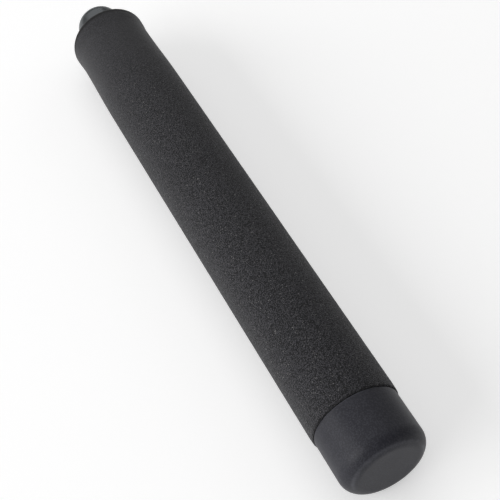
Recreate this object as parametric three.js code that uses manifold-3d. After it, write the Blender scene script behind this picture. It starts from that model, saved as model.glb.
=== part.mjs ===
// A collapsed three-section telescopic baton with a foam grip, lying along +X.
//
// Millimetres, +Z up. The origin is the centre of the butt cap's flat end face,
// and the sections slide out of the handle towards +X. The cap unscrews towards -X
// on a right-hand thread and carries a spring clip that grips the innermost shaft.
// The radii are worked out from the innermost shaft outwards, so every tube keeps
// its running gap when one wall or one diameter is changed.

import * as THREE from 'three';
import { mergeVertices } from 'three/addons/utils/BufferGeometryUtils.js';
import Module from 'manifold-3d';

const wasm = await Module();
wasm.setup();

// ---- Driving dimensions ------------------------------------------------------

const SIDES = 32; // flats around every round piece

// gaps
const SEAT_GAP = 0.3; // between pieces that touch and don't slide
const SLIDE_GAP = 0.15; // radial, between a section and the mouth that it runs in
const LOCK_GAP = 0.03; // radial, left between two tapers when a section is fully out

// the telescoping sections, from the innermost outwards
const TIP_SHAFT_RADIUS = 7.6;
const TIP_SHAFT_WALL = 1.2;
const MIDDLE_WALL = 1.2;
const HANDLE_WALL = 1.6;
const TAPER_RISE = 0.9; // how far a mouth is drawn in, and a rear end flared out
const TAPER_LENGTH = 20;

// the grip
const FOAM_THICKNESS = 2.7;
const GRIP_LENGTH = 208.6;
const GRIP_REAR_ROUND = [2.5, 0.6]; // along the axis, and across it
const GRIP_NECK_FROM_FRONT = 9.9;
const GRIP_NECK_DEPTH = 0.5;
const GRIP_NARROWING = 31.3; // length over which the grip runs down to its neck
const GRIP_LIP_DEPTH = 0.1; // the front lip stays this far inside the grip's radius
const GRIP_LIP_ROUND = [1.5, 2.1];

// the butt cap
const CAP_LENGTH = 20;
const CAP_SHOULDER = 2.5; // how far the cap stands out beyond the handle tube
const CAP_ROUND = 5.1; // rounding of the cap's rear edge
const CAP_FRONT_BREAK = 0.3;
const CAP_FLOOR = 8; // solid metal behind the cap's hollow
const SPIGOT_WALL = 1.85;

// the cap's thread
const THREAD_PITCH = 1.5;
const THREAD_DEPTH = 0.8;
const THREAD_LENGTH = 8.3;
const THREAD_FLANK = 0.375; // axial run of one flank
const THREAD_LAND = 0.225; // width of the male thread's crest
const THREAD_ROOT_GAP = 0.25; // male root below the tube's bore
const THREAD_CREST_GAP = 0.2; // female root beyond the male crest
const THREAD_AXIAL_GAP = 0.11; // each side of the crest, beyond what the crest gap gives
const THREAD_CHAMFER = 0.6;

// the sealing ring between the cap and the handle tube
const RING_SECTION = 1.6;
const RING_SECTION_SIDES = 10;

// the retaining clip and its screw
const CLIP_THICKNESS = 0.8;
const CLIP_WIDTH = 5.2;
const CLIP_REACH = 17; // how far the legs go into the shaft
const CLIP_BOW_LENGTH = 12; // bowed end of each leg
const CLIP_BORE_GAP = 0.3; // corners of the bowed legs to the shaft's bore
const CLIP_SIDE_GAP = 0.6; // straight legs to the washer between them
const CLIP_BEND = 1.0; // size of the bend between the base and a leg
const SCREW_RADIUS = 1.45;
const SCREW_DEPTH = 4.7; // thread in the cap's floor
const SCREW_HEAD_RADIUS = 2.75;
const SCREW_HEAD_HEIGHT = 1.9;
const SCREW_SOCKET_RADIUS = 1.4;
const SCREW_SOCKET_DEPTH = 1.1;
const WASHER_RADIUS = 3.0;
const WASHER_THICKNESS = 0.6;

// the tip
const KNOB_LENGTH = 13.6;
const KNOB_OVERHANG = 1.5; // how far the knob stands out beyond its shaft
const KNOB_ROUND = [5.3, 3.8];
const STUD_RADIUS = 3.5;
const STUD_LENGTH = 14;
const PLUG_LENGTH = 18;

// clearances along the axis
const SPIGOT_TO_MIDDLE = 1.0; // cap's spigot to the middle tube's rear end
const SHAFT_SETBACK = 0.5; // tip shaft's rear end ahead of the middle tube's

// ---- Worked-out sizes ----------------------------------------------------------

const taperSlope = TAPER_RISE / TAPER_LENGTH;

const shaftBore = TIP_SHAFT_RADIUS - TIP_SHAFT_WALL;
const shaftFlare = TIP_SHAFT_RADIUS + TAPER_RISE;

const middleMouthBore = TIP_SHAFT_RADIUS + SLIDE_GAP;
const middleBore = middleMouthBore + TAPER_RISE;
const middleRadius = middleBore + MIDDLE_WALL;
const middleFlare = middleRadius + TAPER_RISE;

const handleMouthBore = middleRadius + SLIDE_GAP;
const handleBore = handleMouthBore + TAPER_RISE;
const handleRadius = handleBore + HANDLE_WALL;

const foamBore = handleRadius + SEAT_GAP;
const gripRadius = foamBore + FOAM_THICKNESS;
const capRadius = handleRadius + CAP_SHOULDER;

const threadRoot = handleBore - THREAD_ROOT_GAP;
const threadCrest = threadRoot + THREAD_DEPTH;
const spigotBore = threadRoot - SPIGOT_WALL;
const coreRadius = threadRoot - SEAT_GAP; // solid spigot under the thread's own skin

const ringRadius = (threadRoot + foamBore) / 2; // centre of the ring's section
const ringFront = CAP_LENGTH + SEAT_GAP + RING_SECTION;
const handleRear = ringFront + SEAT_GAP;
const spigotEnd = handleRear + THREAD_LENGTH;
const neckRadius = ringRadius - RING_SECTION / 2 - SEAT_GAP; // spigot under the ring

const gripRear = CAP_LENGTH + SEAT_GAP;
const gripFront = gripRear + GRIP_LENGTH;
const handleFront = gripFront - SEAT_GAP;
const middleRear = spigotEnd + SPIGOT_TO_MIDDLE;
const middleFront = gripFront;
const shaftRear = middleRear + SHAFT_SETBACK;
const shaftFront = middleFront;
const knobRear = middleFront + SEAT_GAP;
const knobFront = knobRear + KNOB_LENGTH;
const knobRadius = TIP_SHAFT_RADIUS + KNOB_OVERHANG;

const clipBase = CAP_FLOOR + SEAT_GAP;
const washerRear = clipBase + CLIP_THICKNESS + SEAT_GAP;
const headRear = washerRear + WASHER_THICKNESS + SEAT_GAP;
const screwHole = SCREW_RADIUS + SEAT_GAP;
const clipLegRadius = WASHER_RADIUS + CLIP_SIDE_GAP + CLIP_THICKNESS / 2;
// the legs bow out inside the shaft's flared end until their corners near its faceted bore
const bowDepth = CLIP_REACH - CLIP_BOW_LENGTH / 2;
const boreAtBow = shaftBore + TAPER_RISE * Math.max(0, 1 - bowDepth / TAPER_LENGTH);
const clipCorner = boreAtBow * Math.cos(Math.PI / SIDES) - CLIP_BORE_GAP;
const clipBowRadius = Math.sqrt(clipCorner ** 2 - (CLIP_WIDTH / 2) ** 2) - CLIP_THICKNESS / 2;

// ---- Shape helpers ---------------------------------------------------------------

/** Turns an outline of [x, radius] pairs about the X axis; it ends on the axis or closes. */
function revolve(outline, sides = SIDES) {
  const points = outline.map(([x, radius]) => new THREE.Vector2(radius, x));
  const geometry = new THREE.LatheGeometry(points, sides, Math.PI / sides);
  geometry.rotateZ(-Math.PI / 2);
  return bare(geometry);
}

/** A tube's closed outline, from its outside run and its inside run, both rear to front. */
function tubeOutline(outside, inside) {
  return [...outside, ...inside.toReversed(), outside[0]];
}

/** Points of a quarter ellipse about a centre, between two angles in degrees. */
function arc([x, radius], [alongAxis, across], from, to, steps = 5) {
  return Array.from({ length: steps + 1 }, (_, i) => {
    const angle = THREE.MathUtils.degToRad(from + ((to - from) * i) / steps);
    return [x + alongAxis * Math.cos(angle), radius + across * Math.sin(angle)];
  });
}

/** Points of a smooth S-shaped run from one [x, radius] to another, without its start. */
function ease([x0, r0], [x1, r1], steps = 4) {
  return Array.from({ length: steps }, (_, i) => {
    const t = (i + 1) / steps;
    return [x0 + (x1 - x0) * t, r0 + ((r1 - r0) * (1 - Math.cos(Math.PI * t))) / 2];
  });
}

/** Position-only copy of a geometry with shared vertices merged and no collapsed faces. */
function bare(geometry) {
  geometry.deleteAttribute('normal');
  geometry.deleteAttribute('uv');
  const merged = mergeVertices(geometry, 1e-5);
  const faces = [];
  for (let i = 0; i < merged.index.count; i += 3) {
    const [a, b, c] = [0, 1, 2].map((k) => merged.index.getX(i + k));
    if (a !== b && b !== c && c !== a) faces.push(a, b, c);
  }
  merged.setIndex(faces);
  return merged;
}

function toSolid(geometry) {
  return new wasm.Manifold(
    new wasm.Mesh({
      numProp: 3,
      vertProperties: new Float32Array(geometry.attributes.position.array),
      triVerts: new Uint32Array(geometry.index.array),
    }),
  );
}

function toGeometry(solid) {
  const { vertProperties, triVerts } = solid.getMesh();
  const geometry = new THREE.BufferGeometry();
  geometry.setAttribute('position', new THREE.BufferAttribute(vertProperties, 3));
  geometry.setIndex(new THREE.BufferAttribute(triVerts, 1));
  return geometry;
}

/** A plain round bar along X. */
function bar(from, to, radius, sides = SIDES) {
  return revolve([[from, 0], [from, radius], [to, radius], [to, 0]], sides);
}

/**
 * A right-hand threaded bar along X, longer than from..to at both ends. Its skin is
 * a grid sheared along the helix: four rows to a turn, and the last column meets the
 * first one a whole pitch further on.
 */
function threadedBar({ from, to, root, crest, land }) {
  const rows = [
    [0, crest],
    [land, crest],
    [land + THREAD_FLANK, root],
    [THREAD_PITCH - THREAD_FLANK, root],
  ];
  const turns = Math.ceil((to - from) / THREAD_PITCH) + 3;
  const start = from - 2 * THREAD_PITCH - land / 2;
  const lastRow = turns * rows.length;
  const positions = [];
  const columns = [];
  for (let i = 0; i < SIDES; i++) {
    const angle = (2 * Math.PI * i) / SIDES;
    const rowCount = lastRow + 1 + (i === 0 ? rows.length : 0);
    columns.push(
      Array.from({ length: rowCount }, (_, j) => {
        const [offset, radius] = rows[j % rows.length];
        const turn = Math.floor(j / rows.length) + i / SIDES;
        const x = start + turn * THREAD_PITCH + offset;
        positions.push(x, radius * Math.cos(angle), radius * Math.sin(angle));
        return positions.length / 3 - 1;
      }),
    );
  }
  columns.push(columns[0].slice(rows.length));

  const faces = [];
  for (let i = 0; i < SIDES; i++) {
    for (let j = 0; j < lastRow; j++) {
      const [a, b] = [columns[i][j], columns[i][j + 1]];
      const [c, d] = [columns[i + 1][j], columns[i + 1][j + 1]];
      faces.push(a, c, b, c, d, b);
    }
  }
  const rearLoop = [...columns[0].slice(0, rows.length)];
  const frontLoop = [];
  for (let i = 0; i < SIDES; i++) {
    rearLoop.push(columns[SIDES - i][0]);
    frontLoop.push(columns[i][lastRow]);
  }
  for (let j = 0; j < rows.length; j++) frontLoop.push(columns[0][lastRow + rows.length - j]);
  const end = start + (turns + 2) * THREAD_PITCH;
  for (const [loop, x] of [[rearLoop, start - THREAD_PITCH], [frontLoop, end]]) {
    const centre = positions.push(x, 0, 0) / 3 - 1;
    loop.forEach((vertex, k) => faces.push(vertex, loop[(k + 1) % loop.length], centre));
  }

  const geometry = new THREE.BufferGeometry();
  geometry.setAttribute('position', new THREE.Float32BufferAttribute(positions, 3));
  geometry.setIndex(faces);
  return toSolid(geometry);
}

/** Outline of a bent strip of even thickness along a path of [x, z] points. */
function stripOutline(path, thickness) {
  const side = (sign) =>
    path.map(([x, z], i) => {
      const before = path[Math.max(i - 1, 0)];
      const after = path[Math.min(i + 1, path.length - 1)];
      const along = new THREE.Vector2(after[0] - before[0], after[1] - before[1]).normalize();
      const offset = (sign * thickness) / 2;
      return new THREE.Vector2(x - along.y * offset, z + along.x * offset);
    });
  return [...side(1), ...side(-1).toReversed()];
}

function piece(name, geometry, color, roughness, metalness) {
  const material = new THREE.MeshStandardMaterial({ color, roughness, metalness, flatShading: true });
  const mesh = new THREE.Mesh(geometry, material);
  mesh.name = name;
  return mesh;
}

// ---- The butt cap and what it carries ----------------------------------------------

function buttCap() {
  const flat = capRadius - CAP_ROUND;
  const body = revolve([
    [0, 0],
    ...arc([CAP_ROUND, flat], [CAP_ROUND, CAP_ROUND], 180, 90, 6),
    [CAP_LENGTH - CAP_FRONT_BREAK, capRadius],
    [CAP_LENGTH, capRadius - CAP_FRONT_BREAK],
    [CAP_LENGTH, neckRadius],
    [handleRear, neckRadius],
    [handleRear, coreRadius],
    [spigotEnd, coreRadius],
    [spigotEnd, 0],
  ]);
  const thread = threadedBar({
    from: handleRear,
    to: spigotEnd,
    root: threadRoot,
    crest: threadCrest,
    land: THREAD_LAND,
  });
  const envelope = revolve([
    [handleRear, 0],
    [handleRear, threadCrest - THREAD_CHAMFER],
    [handleRear + THREAD_CHAMFER, threadCrest + SEAT_GAP],
    [spigotEnd - THREAD_CHAMFER, threadCrest + SEAT_GAP],
    [spigotEnd, threadCrest - THREAD_CHAMFER],
    [spigotEnd, 0],
  ]);
  const hollow = bar(CAP_FLOOR, spigotEnd + 1, spigotBore);
  const tapping = bar(CAP_FLOOR - SCREW_DEPTH - SEAT_GAP, CAP_FLOOR + 1, screwHole);
  const solid = toSolid(body)
    .add(thread.intersect(toSolid(envelope)))
    .subtract(toSolid(hollow))
    .subtract(toSolid(tapping));
  return piece('butt_cap', toGeometry(solid), 0x2a2c31, 0.42, 0.1);
}

function capRing() {
  const section = arc(
    [ringFront - RING_SECTION / 2, ringRadius],
    [RING_SECTION / 2, RING_SECTION / 2],
    360,
    0,
    RING_SECTION_SIDES,
  );
  section[section.length - 1] = section[0];
  return piece('cap_o_ring', revolve(section), 0x101010, 0.7, 0);
}

function retainingClip() {
  const base = clipBase + CLIP_THICKNESS / 2;
  const tip = shaftRear + CLIP_REACH;
  const bowFrom = tip - CLIP_BOW_LENGTH;
  const bowPeak = shaftRear + bowDepth;
  const leg = [
    [base, clipLegRadius - CLIP_BEND],
    [base + 0.3 * CLIP_BEND, clipLegRadius - 0.3 * CLIP_BEND],
    [base + CLIP_BEND, clipLegRadius],
    [bowFrom, clipLegRadius],
    ...ease([bowFrom, clipLegRadius], [bowPeak, clipBowRadius]),
    ...ease([bowPeak, clipBowRadius], [tip, clipLegRadius]),
  ];
  const path = [...leg.toReversed().map(([x, z]) => [x, -z]), ...leg];
  const strip = new THREE.ExtrudeGeometry(new THREE.Shape(stripOutline(path, CLIP_THICKNESS)), {
    depth: CLIP_WIDTH,
    bevelEnabled: false,
  });
  strip.translate(0, 0, -CLIP_WIDTH / 2);
  strip.rotateX(Math.PI / 2);
  const hole = bar(clipBase - 1, clipBase + CLIP_THICKNESS + 1, screwHole, 16);
  const solid = toSolid(bare(strip)).subtract(toSolid(hole));
  return piece('retaining_clip', toGeometry(solid), 0x8f9299, 0.3, 0.9);
}

function clipWasher() {
  const front = washerRear + WASHER_THICKNESS;
  const outline = tubeOutline(
    [[washerRear, WASHER_RADIUS], [front, WASHER_RADIUS]],
    [[washerRear, screwHole], [front, screwHole]],
  );
  return piece('clip_washer', revolve(outline, 24), 0x9a9ca0, 0.35, 0.9);
}

function clipScrew() {
  const front = headRear + SCREW_HEAD_HEIGHT;
  const edge = 0.3;
  const body = revolve(
    [
      [CAP_FLOOR - SCREW_DEPTH, 0],
      [CAP_FLOOR - SCREW_DEPTH, SCREW_RADIUS - edge],
      [CAP_FLOOR - SCREW_DEPTH + edge, SCREW_RADIUS],
      [headRear, SCREW_RADIUS],
      [headRear, SCREW_HEAD_RADIUS],
      [front - edge, SCREW_HEAD_RADIUS],
      [front, SCREW_HEAD_RADIUS - edge],
      [front, 0],
    ],
    24,
  );
  const socket = bar(front - SCREW_SOCKET_DEPTH, front + 1, SCREW_SOCKET_RADIUS, 6);
  const solid = toSolid(body).subtract(toSolid(socket));
  return piece('clip_screw', toGeometry(solid), 0x6d7076, 0.35, 0.9);
}

// ---- The handle ---------------------------------------------------------------------

function handleTube() {
  const taperStart = handleFront - TAPER_LENGTH;
  const mouthChamfer = THREAD_DEPTH - THREAD_ROOT_GAP + THREAD_CREST_GAP;
  const outline = tubeOutline(
    [
      [handleRear, handleRadius],
      [taperStart, handleRadius],
      [handleFront, handleRadius - TAPER_RISE],
    ],
    [
      [handleRear, handleBore + mouthChamfer],
      [handleRear + mouthChamfer, handleBore],
      [taperStart, handleBore],
      [handleFront, handleMouthBore],
    ],
  );
  const thread = threadedBar({
    from: handleRear,
    to: spigotEnd,
    root: threadRoot,
    crest: threadCrest + THREAD_CREST_GAP,
    land: THREAD_LAND + 2 * THREAD_AXIAL_GAP,
  });
  const cut = thread.intersect(toSolid(bar(handleRear - 1, spigotEnd + SEAT_GAP, handleRadius)));
  const solid = toSolid(revolve(outline)).subtract(cut);
  return piece('handle_tube', toGeometry(solid), 0x1c1d20, 0.35, 0.85);
}

function foamGrip() {
  const frontCorner = gripRadius - GRIP_LIP_DEPTH - GRIP_LIP_ROUND[1];
  const neck = [gripFront - GRIP_NECK_FROM_FRONT, gripRadius - GRIP_NECK_DEPTH];
  const shoulder = [neck[0] - GRIP_NARROWING, gripRadius];
  const lip = [gripFront - GRIP_LIP_ROUND[0], gripRadius - GRIP_LIP_DEPTH];
  const rearCorner = [gripRear + GRIP_REAR_ROUND[0], gripRadius - GRIP_REAR_ROUND[1]];
  const taperStart = handleFront - TAPER_LENGTH;
  const frontBore = foamBore - TAPER_RISE * ((gripFront - taperStart) / TAPER_LENGTH);
  const outline = tubeOutline(
    [
      ...arc(rearCorner, GRIP_REAR_ROUND, 180, 90, 4),
      shoulder,
      ...ease(shoulder, neck),
      ...ease(neck, lip),
      ...arc([lip[0], frontCorner], GRIP_LIP_ROUND, 90, 0, 5).slice(1),
    ],
    [
      [gripRear, foamBore],
      [taperStart, foamBore],
      [gripFront, frontBore],
    ],
  );
  return piece('foam_grip', revolve(outline), 0x1b1b1d, 0.95, 0);
}

// ---- The sliding sections --------------------------------------------------------------

function middleTube() {
  const outline = tubeOutline(
    [
      [middleRear, middleFlare],
      [middleRear + TAPER_LENGTH, middleRadius],
      [middleFront - TAPER_LENGTH, middleRadius],
      [middleFront, middleRadius - TAPER_RISE],
    ],
    [
      [middleRear, middleFlare - MIDDLE_WALL],
      [middleRear + TAPER_LENGTH, middleBore],
      [middleFront - TAPER_LENGTH, middleBore],
      [middleFront, middleMouthBore],
    ],
  );
  return piece('middle_tube', revolve(outline), 0x26272a, 0.3, 0.9);
}

function tipShaft() {
  const outline = tubeOutline(
    [
      [shaftRear, shaftFlare],
      [shaftRear + TAPER_LENGTH, TIP_SHAFT_RADIUS],
      [shaftFront, TIP_SHAFT_RADIUS],
    ],
    [
      [shaftRear, shaftFlare - TIP_SHAFT_WALL],
      [shaftRear + TAPER_LENGTH, shaftBore],
      [shaftFront, shaftBore],
    ],
  );
  return piece('tip_shaft', revolve(outline), 0x303135, 0.28, 0.9);
}

function tipPlug() {
  const rear = shaftFront - PLUG_LENGTH;
  const radius = shaftBore - SEAT_GAP;
  const bore = STUD_RADIUS + SEAT_GAP;
  const outline = tubeOutline(
    [[rear, radius], [shaftFront, radius]],
    [[rear, bore], [shaftFront, bore]],
  );
  return piece('tip_plug', revolve(outline, 24), 0x55575c, 0.4, 0.9);
}

function tipKnob() {
  const edge = 0.4;
  const corner = [knobFront - KNOB_ROUND[0], knobRadius - KNOB_ROUND[1]];
  const outline = [
    [knobRear - STUD_LENGTH, 0],
    [knobRear - STUD_LENGTH, STUD_RADIUS - edge],
    [knobRear - STUD_LENGTH + edge, STUD_RADIUS],
    [knobRear, STUD_RADIUS],
    [knobRear, knobRadius - edge],
    [knobRear + edge, knobRadius],
    ...arc(corner, KNOB_ROUND, 90, 0, 7),
    [knobFront, 0],
  ];
  return piece('tip_knob', revolve(outline), 0x4a4d52, 0.22, 0.9);
}

// ---- How far the sections slide -----------------------------------------------------------

// A section is fully out when its flare has gone past the matching taper by the length
// in which the slope closes the running gap down to LOCK_GAP.
const lockRun = (SLIDE_GAP - LOCK_GAP) / taperSlope;
const middleTravel = handleFront - TAPER_LENGTH - middleRear + lockRun;
const tipTravel = middleFront - TAPER_LENGTH - shaftRear + lockRun;

const capGroup = new THREE.Group();
capGroup.userData = { travel: THREAD_LENGTH, pitch: THREAD_PITCH };
capGroup.add(buttCap(), capRing(), retainingClip(), clipWasher(), clipScrew());

const handleGroup = new THREE.Group();
handleGroup.add(handleTube(), foamGrip());

const middleGroup = new THREE.Group();
middleGroup.userData = { travel: middleTravel };
middleGroup.add(middleTube());

const tipGroup = new THREE.Group();
tipGroup.userData = { travel: tipTravel };
tipGroup.add(tipShaft(), tipPlug(), tipKnob());

const baton = new THREE.Group();
baton.add(capGroup, handleGroup, middleGroup, tipGroup);

export default baton;
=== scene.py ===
"""A collapsed three-section telescopic baton with a foam grip.

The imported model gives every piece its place: sizes are read from the boxes of its nodes, and
the finer pieces made here stand for those nodes and ride on their bodies. Lengths are in
millimetres until a mesh is made, and a finished mesh is in metres.
"""

import logging
import math
from dataclasses import dataclass, field
from enum import Enum
from typing import Any, Callable, Iterable, Optional, Sequence, Union

import bmesh
import bpy
from mathutils import Matrix, Vector


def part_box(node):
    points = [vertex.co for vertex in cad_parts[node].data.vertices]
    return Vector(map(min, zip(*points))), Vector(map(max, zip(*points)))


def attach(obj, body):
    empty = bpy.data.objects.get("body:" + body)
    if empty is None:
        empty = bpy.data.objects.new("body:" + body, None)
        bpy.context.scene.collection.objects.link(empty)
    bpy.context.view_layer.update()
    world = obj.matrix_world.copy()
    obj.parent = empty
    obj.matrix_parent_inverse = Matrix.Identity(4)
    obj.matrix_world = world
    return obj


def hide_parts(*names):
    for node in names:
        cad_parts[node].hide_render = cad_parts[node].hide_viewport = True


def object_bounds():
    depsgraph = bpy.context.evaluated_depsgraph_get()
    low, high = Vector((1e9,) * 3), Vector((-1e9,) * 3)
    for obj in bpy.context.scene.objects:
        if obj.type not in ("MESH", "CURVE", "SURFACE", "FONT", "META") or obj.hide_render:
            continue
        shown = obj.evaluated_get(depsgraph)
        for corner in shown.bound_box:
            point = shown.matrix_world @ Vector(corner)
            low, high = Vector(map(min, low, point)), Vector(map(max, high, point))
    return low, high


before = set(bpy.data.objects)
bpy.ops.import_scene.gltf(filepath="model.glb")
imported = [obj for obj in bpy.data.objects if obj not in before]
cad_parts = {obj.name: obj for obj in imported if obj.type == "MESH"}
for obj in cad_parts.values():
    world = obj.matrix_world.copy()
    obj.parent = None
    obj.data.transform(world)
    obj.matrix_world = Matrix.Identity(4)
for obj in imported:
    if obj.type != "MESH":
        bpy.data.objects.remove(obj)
CAD_BOX = [list(corner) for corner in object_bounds()]

log = logging.getLogger("baton")

MM = 0.001
FLATS = 32  # flats around every round CAD node
SMOOTH = 128  # sides of a large round piece made here
MEDIUM = 96  # sides of a medium one
SMALL = 64  # sides of a small one
HOLE = 48  # sides of a drilled hole
HEXAGON = 6
SEAT = 0.3  # gap that the CAD keeps between pieces that touch
MERGE = 0.002 * MM  # points closer than this become one
SHARP = math.radians(32)  # a cut piece's edges stay sharp over this angle

Point = tuple[float, float]
Colour = tuple[float, float, float]
Band = tuple[float, float]  # middle on the axis and half-width, in millimetres


class Body(Enum):
    """The bodies that move as one."""

    HANDLE = "handle"
    SEAL = "cap_seal"
    CAP = "butt_cap"
    MIDDLE = "middle"
    TIP = "tip"


class Slot(Enum):
    """The record's material slots."""

    CAP = "cap_black"
    RUBBER = "seal_rubber"
    SPRING = "spring_steel"
    ZINC = "zinc_steel"
    BLACK_STEEL = "black_steel"
    RAW_STEEL = "raw_steel"
    FOAM = "grip_foam"
    KNOB = "knob_metal"


class Lines(Enum):
    """How fine tool lines run on a metal piece: the pattern's frequency along X, Y and Z."""

    TURNED = (9000.0, 90.0, 90.0)
    DRAWN = (45.0, 5200.0, 5200.0)


# ---- Node trees ---------------------------------------------------------------------------


class Value:
    """A number socket of a node tree that takes Python's arithmetic."""

    def __init__(self, graph: "Graph", socket: bpy.types.NodeSocket) -> None:
        """Wraps an output socket.

        Args:
            graph: The tree that the socket belongs to.
            socket: An output socket that gives a number.
        """
        self.graph = graph
        self.socket = socket

    def _math(self, operation: str, *terms: "Number") -> "Value":
        """Adds one Math node.

        Args:
            operation: The Math node's operation.
            terms: Its inputs, in order.

        Returns:
            The node's result.
        """
        node = self.graph.node("ShaderNodeMath", {"operation": operation}, dict(enumerate(terms)))
        return self.graph.number(node)

    def __add__(self, other: "Number") -> "Value":
        """self + other"""
        return self._math("ADD", self, other)

    def __radd__(self, other: float) -> "Value":
        """other + self"""
        return self._math("ADD", other, self)

    def __sub__(self, other: "Number") -> "Value":
        """self - other"""
        return self._math("SUBTRACT", self, other)

    def __rsub__(self, other: float) -> "Value":
        """other - self"""
        return self._math("SUBTRACT", other, self)

    def __mul__(self, other: "Number") -> "Value":
        """self * other"""
        return self._math("MULTIPLY", self, other)

    def __rmul__(self, other: float) -> "Value":
        """other * self"""
        return self._math("MULTIPLY", other, self)

    def __rtruediv__(self, other: float) -> "Value":
        """other / self"""
        return self._math("DIVIDE", other, self)

    def __pow__(self, power: float) -> "Value":
        """self ** power"""
        return self._math("POWER", self, power)

    def __abs__(self) -> "Value":
        """abs(self)"""
        return self._math("ABSOLUTE", self)

    def least(self, other: "Number") -> "Value":
        """The smaller of two numbers."""
        return self._math("MINIMUM", self, other)

    def above(self, limit: float) -> "Value":
        """1 where the number is over a limit, and 0 elsewhere."""
        return self._math("GREATER_THAN", self, limit)

    def ramp(self, low: float, high: float) -> "Value":
        """Runs smoothly from 0 at one value to 1 at another.

        Args:
            low: Where the result is 0.
            high: Where the result is 1; it may be less than low.

        Returns:
            The smoothed result, held between 0 and 1.
        """
        if low > high:
            return 1.0 - self.graph.eased(self, high, low)
        return self.graph.eased(self, low, high)


Number = Union[Value, float, int]


class Graph:
    """Builds the nodes of a material or of a geometry tree."""

    def __init__(self, tree: bpy.types.NodeTree) -> None:
        """Starts on an empty tree.

        Args:
            tree: The node tree to fill.
        """
        self.tree = tree

    def node(
        self,
        kind: str,
        settings: Optional[dict[str, Any]] = None,
        inputs: Optional[dict[Union[str, int], Any]] = None,
    ) -> bpy.types.Node:
        """Adds a node, sets its settings and then its sockets.

        Args:
            kind: The node's type.
            settings: Properties of the node, such as a Math node's operation.
            inputs: Values, sockets or nodes for its inputs, by name or number.

        Returns:
            The new node.
        """
        node = self.tree.nodes.new(kind)
        for name, value in (settings or {}).items():
            setattr(node, name, value)
        for name, value in (inputs or {}).items():
            if isinstance(value, Value):
                value = value.socket
            elif isinstance(value, bpy.types.Node):
                value = value.outputs[0]
            if isinstance(value, bpy.types.NodeSocket):
                self.tree.links.new(value, node.inputs[name])
            else:
                node.inputs[name].default_value = value
        return node

    def number(self, node: bpy.types.Node, output: Union[str, int] = 0) -> Value:
        """A node's output as a number that takes arithmetic."""
        return Value(self, node.outputs[output])

    def eased(self, value: Number, low: Number, high: Number, bottom: float = 0.0) -> Value:
        """Runs smoothly from a bottom value at one place to 1 at another.

        Args:
            value: The place.
            low: Where the run begins.
            high: Where the run ends; it is more than low.
            bottom: The result up to low.

        Returns:
            The smoothed result.
        """
        inputs = {"Value": value, "From Min": low, "From Max": high, "To Min": bottom}
        return self.number(self.node("ShaderNodeMapRange", {"interpolation_type": "SMOOTHSTEP"}, inputs))

    def colours(self, factor: Number, first: Any, second: Any) -> bpy.types.NodeSocket:
        """Mixes two colours.

        Args:
            factor: 0 gives the first colour and 1 the second.
            first: A colour or a colour socket.
            second: A colour or a colour socket.

        Returns:
            The mixed colour.
        """
        pair = [(*c, 1.0) if isinstance(c, tuple) else c for c in (first, second)]
        inputs = {0: factor, 6: pair[0], 7: pair[1]}
        return self.node("ShaderNodeMix", {"data_type": "RGBA"}, inputs).outputs[2]

    def place(self) -> bpy.types.NodeSocket:
        """Object coordinates, in metres."""
        return self.node("ShaderNodeTexCoord").outputs["Object"]

    def axes(self, vector: bpy.types.NodeSocket) -> tuple[Value, Value, Value]:
        """The three numbers of a vector."""
        split = self.node("ShaderNodeSeparateXYZ", inputs={0: vector})
        return tuple(self.number(split, i) for i in range(3))

    def noise(self, vector: Any, size: Union[float, Lines], detail: float, seed: float) -> Value:
        """Smooth noise around 0.5.

        Args:
            vector: Where it is read, in metres.
            size: The size of its grains, in millimetres, or the way that its tool lines run.
            detail: How many finer layers it has.
            seed: Which of its patterns is used.

        Returns:
            The noise.
        """
        if isinstance(size, Lines):
            vector = self.node("ShaderNodeMapping", inputs={"Vector": vector, "Scale": size.value})
            scale = 1.0
        else:
            scale = 1.0 / (size * MM)
        inputs = {"Vector": vector, "W": seed, "Scale": scale, "Detail": detail}
        return self.number(self.node("ShaderNodeTexNoise", {"noise_dimensions": "4D"}, inputs))

    def cells(self, vector: Any, size: float, blur: float) -> Value:
        """Distance from the middle of rounded cells, as foam skin has.

        Args:
            vector: Where it is read, in metres.
            size: The size of a cell, in millimetres.
            blur: How far neighbouring cells run into each other.

        Returns:
            About 0 in the middle of a cell and 0.7 at its edge.
        """
        settings = {"feature": "SMOOTH_F1"}
        inputs = {"Vector": vector, "Scale": 1.0 / (size * MM), "Smoothness": blur}
        return self.number(self.node("ShaderNodeTexVoronoi", settings, inputs), "Distance")

    def bands(self, along: Value, bands: Iterable[Band], core: float) -> Number:
        """Masks for bands across the axis, added up.

        Args:
            along: The place on the axis, in metres.
            bands: The bands.
            core: The part of a band's half-width that is fully in it.

        Returns:
            1 within the bands, and 0 outside them.
        """
        return sum(abs(along - middle * MM).ramp(half * MM, half * MM * core) for middle, half in bands)

    def bump(self, height: Value, depth: float) -> bpy.types.NodeSocket:
        """Relief from a height.

        Args:
            height: The height, about 0 to 1.
            depth: How far the relief stands out, in millimetres.

        Returns:
            The bent normal.
        """
        inputs = {"Height": height, "Distance": depth * MM, "Strength": 1.0}
        return self.node("ShaderNodeBump", inputs=inputs).outputs[0]


# ---- Finishes -------------------------------------------------------------------------------


def shaded(colour: Colour, factor: float) -> Colour:
    """A colour made darker or paler."""
    return tuple(part * factor for part in colour)


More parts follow.
